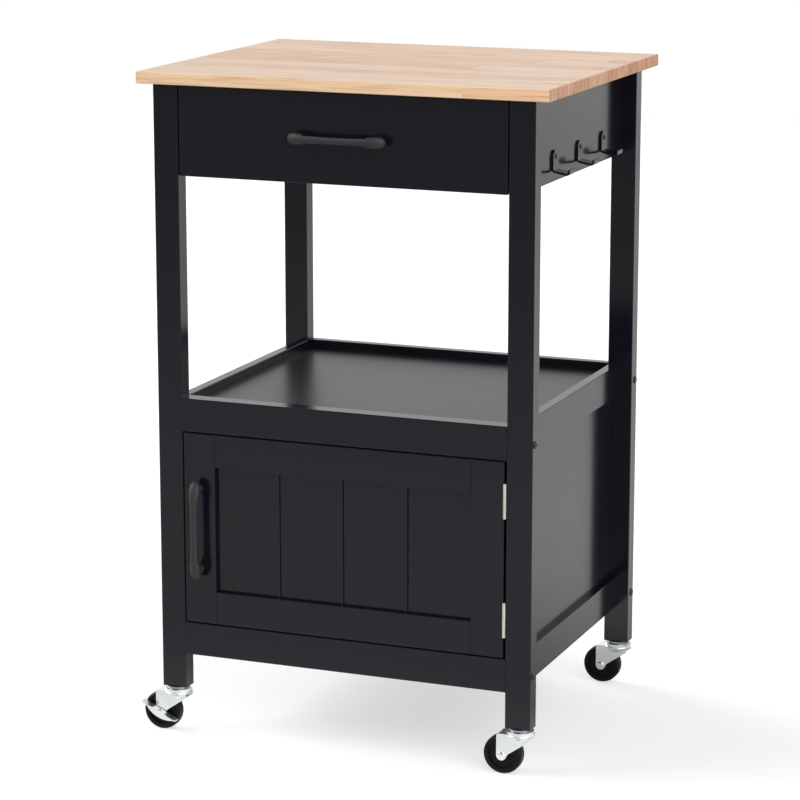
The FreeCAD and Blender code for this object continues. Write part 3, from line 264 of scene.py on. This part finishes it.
def cast_graphite():
    """Powder-coated zinc casting, dark grey: satin, with a fine even grit."""
    material, tree, place = new_material("graphite_powder_coat")
    # The grit is about 0.2 mm across, and is drawn 0.7 mm across so that it shows
    grit = add(
        tree, "ShaderNodeTexNoise", {"Vector": place, "Scale": 1500, "Detail": 2}).outputs[0]
    bump = add(
        tree, "ShaderNodeBump",
        {"Strength": 0.12, "Distance": 0.1 * MM, "Height": grit}).outputs[0]
    sheen = add(
        tree, "ShaderNodeMapRange",
        {"Value": grit, "From Min": 0.3, "From Max": 0.7, "To Min": 0.52,
         "To Max": 0.64}).outputs[0]
    close(tree, {
        "Base Color": paint("#292B2A"), "Roughness": sheen, "IOR": 1.5, "Normal": bump})
    return material


def plated(name, light, dark, rough, size):
    """Plated or polished steel: slightly cloudy, in patches of this size, and a little duller
    where a patch is darker."""
    material, tree, place = new_material(name)
    cloud = add(
        tree, "ShaderNodeTexNoise", {"Vector": place, "Scale": 1 / size, "Detail": 4}).outputs[0]
    tint = add(
        tree, "ShaderNodeMix",
        {"Factor": cloud, 6: paint(light), 7: paint(dark)}, data_type="RGBA").outputs[2]
    sheen = add(
        tree, "ShaderNodeMapRange",
        {"Value": cloud, "From Min": 0.3, "From Max": 0.7, "To Min": rough,
         "To Max": rough + 0.1}).outputs[0]
    close(tree, {"Base Color": tint, "Metallic": 1, "Roughness": sheen})
    return material


def wavy_film(name, colour, rough):
    """Coated steel or moulded plastic: an even colour with waves about 3 mm across."""
    material, tree, place = new_material(name)
    wave = add(
        tree, "ShaderNodeTexNoise", {"Vector": place, "Scale": 300, "Detail": 2}).outputs[0]
    bump = add(
        tree, "ShaderNodeBump",
        {"Strength": 0.05, "Distance": 0.1 * MM, "Height": wave}).outputs[0]
    close(tree, {"Base Color": paint(colour), "Roughness": rough, "IOR": 1.5, "Normal": bump})
    return material


def moulded_nylon():
    """Moulded black nylon: low sheen with a fine spark-eroded texture."""
    material, tree, place = new_material("moulded_black_nylon")
    # The texture is about 0.1 mm across, and is drawn 1.1 mm across so that it shows
    texture = add(
        tree, "ShaderNodeTexNoise", {"Vector": place, "Scale": 900, "Detail": 3}).outputs[0]
    tint = add(
        tree, "ShaderNodeMix",
        {"Factor": texture, 6: paint("#040404"), 7: paint("#080808")},
        data_type="RGBA").outputs[2]
    bump = add(
        tree, "ShaderNodeBump",
        {"Strength": 0.15, "Distance": 0.1 * MM, "Height": texture}).outputs[0]
    close(tree, {
        "Base Color": tint, "Roughness": 0.5, "Specular IOR Level": 0.2, "Normal": bump})
    return material


def dress(names, material):
    """Give CAD nodes a material."""
    for name in names:
        slots = nodes[name].data.materials
        slots.clear()
        slots.append(material)


def dress_all():
    """Give every CAD node its material, and draw the pieces that share these materials."""
    # The grain runs up the legs and panels, across the front and rear, and back along the sides
    upright = black_lacquer("black_lacquer_upright_grain", (260, 260, 9))
    crosswise = black_lacquer("black_lacquer_cross_grain", (9, 260, 260))
    lengthwise = black_lacquer("black_lacquer_long_grain", (260, 9, 260))
    dress(["worktop"], oiled_rubberwood())
    dress([f"leg_{corner}" for corner in CORNERS], upright)
    dress(["door_stile_left", "door_stile_right", "door_panel"], upright)
    dress(["side_panel_left", "side_panel_right", "back_panel"], upright)
    dress(["tray_front_rail", "tray_rear_rail", "apron_rear", "drawer_front"], crosswise)
    dress(["bottom_front_rail", "bottom_rear_rail"], crosswise)
    dress(["door_rail_top", "door_rail_bottom"], crosswise)
    dress(["tray_shelf", "cabinet_floor"], matt_board())
    dress(["apron_left", "apron_right", "tray_rail_left", "tray_rail_right"], lengthwise)
    dress(["bottom_rail_left", "bottom_rail_right"], lengthwise)
    pine = sealed_wood("sealed_pine", "#D9BC93", "#C79F6E", (120, 6, 120))
    cross_pine = sealed_wood("sealed_pine_crosswise", "#D9BC93", "#C79F6E", (6, 120, 120))
    dress(["runner_left", "runner_right", "drawer_side_left", "drawer_side_right"], pine)
    dress(["drawer_back"], cross_pine)
    dress(["drawer_bottom"], sealed_wood("birch_plywood", "#D6BC98", "#C9AA80", (5, 60, 60)))
    casting = cast_graphite()
    dress(["drawer_handle", "door_handle"], casting)
    make_handles(casting)
    zinc = plated("zinc_plated_screw_steel", "#C9CBCD", "#B4B7BA", 0.22, 6 * MM)
    dress(["drawer_handle_screws", "door_handle_screws", "strike_plate"], zinc)
    make_catch_poles(zinc)
    nickel = plated("nickel_plated_steel", "#FBF6EC", "#F0E9DD", 0.45, 8 * MM)
    dress(["hinge_leaves_frame", "hinge_leaves_door", "hinge_pins"], nickel)
    bright = plated("bright_zinc_plated_steel", "#FBFDFE", "#F3F7F8", 0.26, 12 * MM)
    dress([f"fork_{corner}" for corner in CORNERS], bright)
    dress([f"axle_{corner}" for corner in CORNERS], bright)
    dress(["brake_lever_front_left", "brake_lever_rear_left"], bright)
    # The race is polished steel, given a darker grey than the other steel: painted shade for the
    # black leg that it mirrors
    dress(["caster_stems"], plated("polished_race_steel_with_painted_shade", "#A4A7AA", "#8E9194", 0.1, 6 * MM))
    dress([f"wheel_{corner}" for corner in CORNERS], moulded_nylon())
    hook_black = wavy_film("gloss_black_coated_steel", "#101011", 0.16)
    dress(["utensil_hooks", "hook_screws"], hook_black)
    bolt_black = wavy_film("blackened_bolt_steel", "#1A1A1C", 0.35)
    dress(["frame_bolts"], bolt_black)
    make_fasteners(bolt_black, hook_black, nickel, zinc)
    dress(["magnetic_catch"], wavy_film("moulded_black_abs", "#161617", 0.4))


# Pieces drawn here, in place of plainer CAD ones or where the CAD has none


def grow(builder, edges):
    """Extrude a ring of edges, and return the corners and the edges of the new ring."""
    grown = bmesh.ops.extrude_edge_only(builder, edges=edges)["geom"]
    ring = [item for item in grown if isinstance(item, bmesh.types.BMVert)]
    edges = [
        item for item in grown
        if isinstance(item, bmesh.types.BMEdge) and all(vert in ring for vert in item.verts)]
    return ring, edges


def sweep_ovals(builder, stations, segments=24):
    """Sweep an oval along X from a closed end, and return the edges of the last one. Each
    station gives the place along X, the distance from the face and the oval's half depth and
    half height."""
    flat = Matrix.Rotation(math.pi / 2, 4, "Y")
    made = bmesh.ops.create_circle(
        builder, cap_ends=True, segments=segments, radius=1, matrix=flat)
    ring = made["verts"]
    edges = [edge for edge in builder.edges if all(vert in ring for vert in edge.verts)]
    shape = Matrix.Identity(4)
    for number, (along, stand, depth, height) in enumerate(stations):
        if number:
            ring, edges = grow(builder, edges)
        target = Matrix.LocRotScale(
            Vector((along, -stand, 0)) * MM, None, Vector((1, depth * MM, height * MM)))
        bmesh.ops.transform(builder, matrix=target @ shape.inverted(), verts=ring)
        shape = target
    return edges


def turn_shape(builder, profile):
    """Sweep circles along X from pairs of place and radius, and return the edges of the last."""
    return sweep_ovals(builder, [(along, 0, radius, radius) for along, radius in profile])


def sink_recess(builder, rim, corners, cuts, top, depth):
    """Close a rim with a recess that has these corners, and as many sides as the rim once cut."""
    ring, outline = grow(builder, rim)
    ring.sort(key=lambda vert: math.atan2(vert.co.z, vert.co.y))
    points = []
    for corner, following in zip(corners, corners[1:] + corners[:1]):
        for step in range(cuts + 1):
            across, up = Vector(corner).lerp(Vector(following), step / (cuts + 1))
            points.append(Vector((top, across, up)) * MM)
    first = min(range(len(ring)), key=lambda number: (ring[number].co - points[0]).length)
    for vert, point in zip(ring[first:] + ring[:first], points):
        vert.co = point
    low, outline = grow(builder, outline)
    bmesh.ops.translate(builder, verts=low, vec=(-depth * MM, 0, 0))
    bmesh.ops.contextual_create(builder, geom=outline)


def hexagon(radius):
    """Return the corners of a hexagonal socket."""
    turns = [math.pi * side / 3 for side in range(6)]
    return [(radius * math.cos(turn), radius * math.sin(turn)) for turn in turns]


def cross(reach, half):
    """Return the corners of a cross recess, with arms this long and half this wide."""
    ways = ((1, 0), (0, 1), (-1, 0), (0, -1))
    corners = []
    for ahead, aside in zip(ways, ways[1:] + ways[:1]):
        for long, wide in ((reach, -half), (reach, half), (half, half)):
            corners.append(tuple(long * a + wide * b for a, b in zip(ahead, aside)))
    return corners


def put_copies(builder, make, places):
    """Draw a shape, and add a copy of it at each place."""
    shape = bmesh.new()
    make(shape)
    mesh = bpy.data.meshes.new("copy")
    for place in places:
        copy = shape.copy()
        bmesh.ops.transform(copy, matrix=place, verts=copy.verts)
        copy.to_mesh(mesh)
        copy.free()
        builder.from_mesh(mesh)
    shape.free()
    bpy.data.meshes.remove(mesh)


def finish_piece(name, builder, body, material, replaced=()):
    """Turn a shape into a piece that rides on a body, with smooth faces and crisp edges."""
    bmesh.ops.remove_doubles(builder, verts=builder.verts, dist=0.001 * MM)
    bmesh.ops.recalc_face_normals(builder, faces=builder.faces)
    mesh = bpy.data.meshes.new(name)
    builder.to_mesh(mesh)
    builder.free()
    mesh.shade_smooth()
    mesh.set_sharp_from_angle(angle=math.radians(35))
    mesh.materials.append(material)
    piece = bpy.data.objects.new(name, mesh)
    bpy.context.scene.collection.objects.link(piece)
    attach(piece, body)
    if replaced:
        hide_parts(*replaced)


def handle_shape(builder):
    """Draw a cast handle along X: drop-shaped ends on turned feet, and a slimmer bar between."""
    tip = 64
    bar_stand = 19.2
    bar_depth = 3.2
    drop = (
        (0, 11.2, 0.8, 1.2), (0.7, 11.6, 2.2, 3.4), (2.4, 12.4, 3.7, 5.2), (5.2, 13.5, 4.9, 6.5),
        (9, 14.6, 5.6, 7.2), (13, 15.6, 5.8, 7.3), (16.5, 16.6, 5.5, 7.0), (19.4, 17.4, 5.0, 6.5),
        (21.8, 17.9, 4.9, 6.4), (22.7, 18.4, 4.3, 5.9), (23.0, bar_stand, bar_depth, 5.0))
    waist = ((36, bar_stand, bar_depth, 4.7), (50, bar_stand, bar_depth, 4.45))
    half = [*drop, *waist]
    stations = [(place - tip, *oval) for place, *oval in half]
    stations += [(0, bar_stand, bar_depth, 4.4)]
    stations += [(tip - place, *oval) for place, *oval in reversed(half)]
    last = sweep_ovals(builder, stations, segments=32)
    bmesh.ops.contextual_create(builder, geom=last)
    screw_spacing = 105
    upright = Matrix.Rotation(math.pi / 2, 4, "Z")
    put_copies(builder, foot_shape, [
        Matrix.Translation((side * screw_spacing / 2 * MM, 0, 0)) @ upright for side in (-1, 1)])


def foot_shape(builder):
    """Draw a turned foot of a handle along X, bored for its screw."""
    profile = (
        (-10.8, 0.4), (-10.8, 2.15), (0, 2.15), (0, 5.0), (-0.8, 5.2), (-3, 4.7), (-13, 4.6),
        (-13.4, 0.4))
    last = turn_shape(builder, profile)
    bmesh.ops.contextual_create(builder, geom=last)


def make_handles(material):
    """Make the two pulls: across the drawer front, and upright beside the door's left edge."""
    across = Matrix.Translation(Vector((0, FRONT_FACE, DRAWER_PULL_HEIGHT)) * MM)
    side, height = DOOR_PULL
    upright = Matrix.Translation(Vector((side, FRONT_FACE, height)) * MM)
    upright = upright @ Matrix.Rotation(math.pi / 2, 4, "Y")
    for part, place in (("drawer", across), ("door", upright)):
        builder = bmesh.new()
        put_copies(builder, handle_shape, [place])
        finish_piece(
            f"{part}_pull", builder, part, material, [f"{part}_handle"])


def bolt_shape(builder):
    """Draw a furniture bolt along X: pointed shank, low domed head and a hexagonal socket."""
    profile = (
        (-58, 2.2), (-57, 3), (0, 3), (0, 5), (0.5, 5), (1.0, 4.75), (1.4, 4.2), (1.6, 3.2),
        (1.6, 2.7))
    rim = turn_shape(builder, profile)
    sink_recess(builder, rim, hexagon(2.3), cuts=3, top=1.6, depth=1.2)


def screw_shape(builder):
    """Draw a screw with a low pan head along X, with a cross recess."""
    profile = (
        (-12.4, 0.4), (-10, 2), (0, 2), (0, 3.6), (0.3, 3.6), (0.8, 3.2), (1.15, 2.6), (1.3, 2.1))
    rim = turn_shape(builder, profile)
    sink_recess(builder, rim, cross(1.6, 0.35), cuts=1, top=1.3, depth=1.0)


def flush_screw_shape(builder):
    """Draw the head of a countersunk screw along X, with a cross recess, flush with its plate."""
    profile = ((-0.95, 1.6), (-0.1, 3.1), (0.05, 3.1), (0.12, 2.8), (0.14, 2.3))
    rim = turn_shape(builder, profile)
    sink_recess(builder, rim, cross(1.7, 0.35), cuts=1, top=0.14, depth=0.7)


def make_fasteners(bolt_black, hook_black, nickel, zinc):
    """Make the bolts, the hooks' screws, and the screws of the hinges and the strike plate."""
    # The shapes look right as they are drawn, and left once turned
    facing = {-1: Matrix.Rotation(math.pi, 4, "Z"), 1: Matrix.Identity(4)}
    builder = bmesh.new()
    put_copies(builder, bolt_shape, [
        Matrix.Translation(Vector((side * LEG_SIDE, end * BOLT_ROW, z)) * MM) @ facing[side]
        for side, end in CORNERS.values() for z in RAIL_MIDDLES])
    finish_piece("socket_bolts", builder, "carcass", bolt_black, ["frame_bolts"])
    builder = bmesh.new()
    put_copies(builder, screw_shape, [
        Matrix.Translation(Vector((HOOK_FACE, y, HOOK_SCREW_HEIGHT)) * MM)
        for y in HOOK_SCREW_ROWS])
    finish_piece(
        "hook_cross_screws", builder, "carcass", hook_black, ["hook_screws"])
    # Two screws in each hinge leaf
    painted_reflection_levels = [
        middle + step for middle in HINGE_MIDDLES
        for step in (-HINGE_SCREW_REACH, HINGE_SCREW_REACH)]
    for body, x, side in (("carcass", LEG_LEAF_FACE, -1), ("door", DOOR_LEAF_FACE, 1)):
        builder = bmesh.new()
        put_copies(builder, flush_screw_shape, [
            Matrix.Translation(Vector((x, HINGE_SCREW_ROW, z)) * MM) @ facing[side]
            for z in painted_reflection_levels])
        finish_piece(f"hinge_screws_{body}", builder, body, nickel)
    inward = Matrix.Rotation(math.pi / 2, 4, "Z")
    builder = bmesh.new()
    put_copies(builder, flush_screw_shape, [
        Matrix.Translation(Vector((CATCH_MIDDLE, STRIKE_FACE, STRIKE_HEIGHT)) * MM) @ inward])
    finish_piece("strike_screw", builder, "door", zinc)


def make_catch_poles(material):
    """Make the two steel pole strips on the face of the magnetic catch."""
    builder = bmesh.new()
    for z in POLE_HEIGHTS:
        made = bmesh.ops.create_cube(builder, size=1, matrix=Matrix.LocRotScale(
            Vector((CATCH_MIDDLE, POLE_ROW, z)) * MM, None, Vector(POLE_SIZE) * MM))["verts"]
        edges = [edge for edge in builder.edges if edge.verts[0] in made]
        bmesh.ops.bevel(
            builder, geom=edges, offset=0.25 * MM, segments=2, profile=0.5, affect="EDGES",
            material=-1)
    finish_piece("catch_poles", builder, "carcass", material)


# Studio


def reflected(tree, ray):
    """Return 1 for a ray that gloss, metal or glass sends out, and 0 for any other."""
    return add(
        tree, "ShaderNodeMath",
        {0: ray.outputs["Is Glossy Ray"], 1: ray.outputs["Is Transmission Ray"]},
        operation="MAXIMUM").outputs[0]


def make_floor():
    """Make a white floor that keeps the shadow and shows white past it."""
    reach = 6
    mesh = bpy.data.meshes.new("studio_floor")
    builder = bmesh.new()
    bmesh.ops.create_grid(builder, x_segments=1, y_segments=1, size=reach)
    builder.to_mesh(mesh)
    builder.free()
    floor = bpy.data.objects.new("studio_floor", mesh)
    bpy.context.scene.collection.objects.link(floor)
    material, tree, place = new_material("white_studio_floor")
    # The camera sees the lit floor plus a glow: white in the open, and greyer in the shadow
    ray = add(tree, "ShaderNodeLightPath")
    light = add(
        tree, "ShaderNodeMath", {0: ray.outputs["Is Camera Ray"], 1: 0.55},
        operation="MULTIPLY").outputs[0]
    light = add(
        tree, "ShaderNodeEmission", {"Color": (1, 1, 1, 1), "Strength": light}).outputs[0]
    matt = add(tree, "ShaderNodeBsdfDiffuse", {"Color": (0.6, 0.6, 0.6, 1)}).outputs[0]
    seen = add(tree, "ShaderNodeAddShader", {0: light, 1: matt}).outputs[0]
    # Lacquer and metal see the floor as a glow with light and shade painted into it: dim out in
    # front, a painted bright band at the front wheels, the island's shadow painted dark behind
    # them, and light again further back. Each pair is a place from the front edge of the floor,
    # at 0, to its rear edge, at 1, and the level there.
    ahead = add(tree, "ShaderNodeSeparateXYZ", {"Vector": place}).outputs["Y"]
    ahead = add(
        tree, "ShaderNodeMapRange",
        {"Value": ahead, "From Min": -reach, "From Max": reach}).outputs[0]
    ramp = add(tree, "ShaderNodeValToRGB", {"Fac": ahead})
    stops = ramp.color_ramp.elements
    painted_reflection_levels = (
        (0, 0.23), (0.2, 0.27), (0.32, 0.43), (0.39, 0.54), (0.455, 0.54), (0.475, 0.95),
        (0.49, 0.95), (0.504, 0.36), (0.516, 0.4), (0.54, 0.7), (0.557, 0.84), (0.585, 0.91),
        (1, 0.74))
    for position, level in painted_reflection_levels[1:-1]:
        stops.new(position)
    for stop, (position, level) in zip(stops, painted_reflection_levels):
        stop.color = (level, level, level, 1)
    # A glow seen only by gloss, metal and glass, which carries the painted shadow and light above
    mirrored = add(tree, "ShaderNodeEmission", {"Color": ramp.outputs[0]}).outputs[0]
    both = add(
        tree, "ShaderNodeMixShader", {0: reflected(tree, ray), 1: seen, 2: mirrored}).outputs[0]
    add(tree, "ShaderNodeOutputMaterial", {"Surface": both})
    mesh.materials.append(material)


def make_world():
    """Make the light round the island: white where it is seen, dimmer in front for gloss, and
    plain for the rest."""
    plain_level = 0.38
    world = bpy.data.worlds.new("studio_world")
    bpy.context.scene.world = world
    world.use_nodes = True
    tree = world.node_tree
    tree.nodes.clear()
    ray = add(tree, "ShaderNodeLightPath")
    way = add(tree, "ShaderNodeTexCoord").outputs["Generated"]
    ahead = add(tree, "ShaderNodeSeparateXYZ", {"Vector": way}).outputs["Y"]
    mirrored = add(
        tree, "ShaderNodeMapRange",
        {"Value": ahead, "From Min": -0.4, "From Max": 0.5, "To Min": 0.23,
         "To Max": 0.9}).outputs[0]
    other = add(
        tree, "ShaderNodeMix", {"Factor": reflected(tree, ray), 2: plain_level, 3: mirrored},
        data_type="FLOAT").outputs[0]
    level = add(
        tree, "ShaderNodeMix", {"Factor": ray.outputs["Is Camera Ray"], 2: other, 3: 1},
        data_type="FLOAT").outputs[0]
    light = add(
        tree, "ShaderNodeBackground", {"Color": (1, 1, 1, 1), "Strength": level}).outputs[0]
    add(tree, "ShaderNodeOutputWorld", {"Surface": light})


def make_lamp(name, strength, softness, height, turn):
    """Make a distant lamp. Softness is how wide it looks in degrees, and height and turn are
    where the island sees it: up from the floor, and round from the front towards the right."""
    data = bpy.data.lights.new(name, "SUN")
    data.energy = strength
    data.angle = math.radians(softness)
    lamp = bpy.data.objects.new(name, data)
    bpy.context.scene.collection.objects.link(lamp)
    lamp.rotation_euler = (math.radians(90 - height), 0, math.radians(turn))


make_camera()
make_world()
make_floor()
make_lamp("key_lamp", strength=1.35, softness=34, height=32, turn=-68)
make_lamp("rear_key_lamp", strength=1.35, softness=34, height=32, turn=-108)
make_lamp("fill_lamp", strength=2.0, softness=60, height=25, turn=55)
dress_all()

bpy.context.scene.view_settings.view_transform = "Standard"
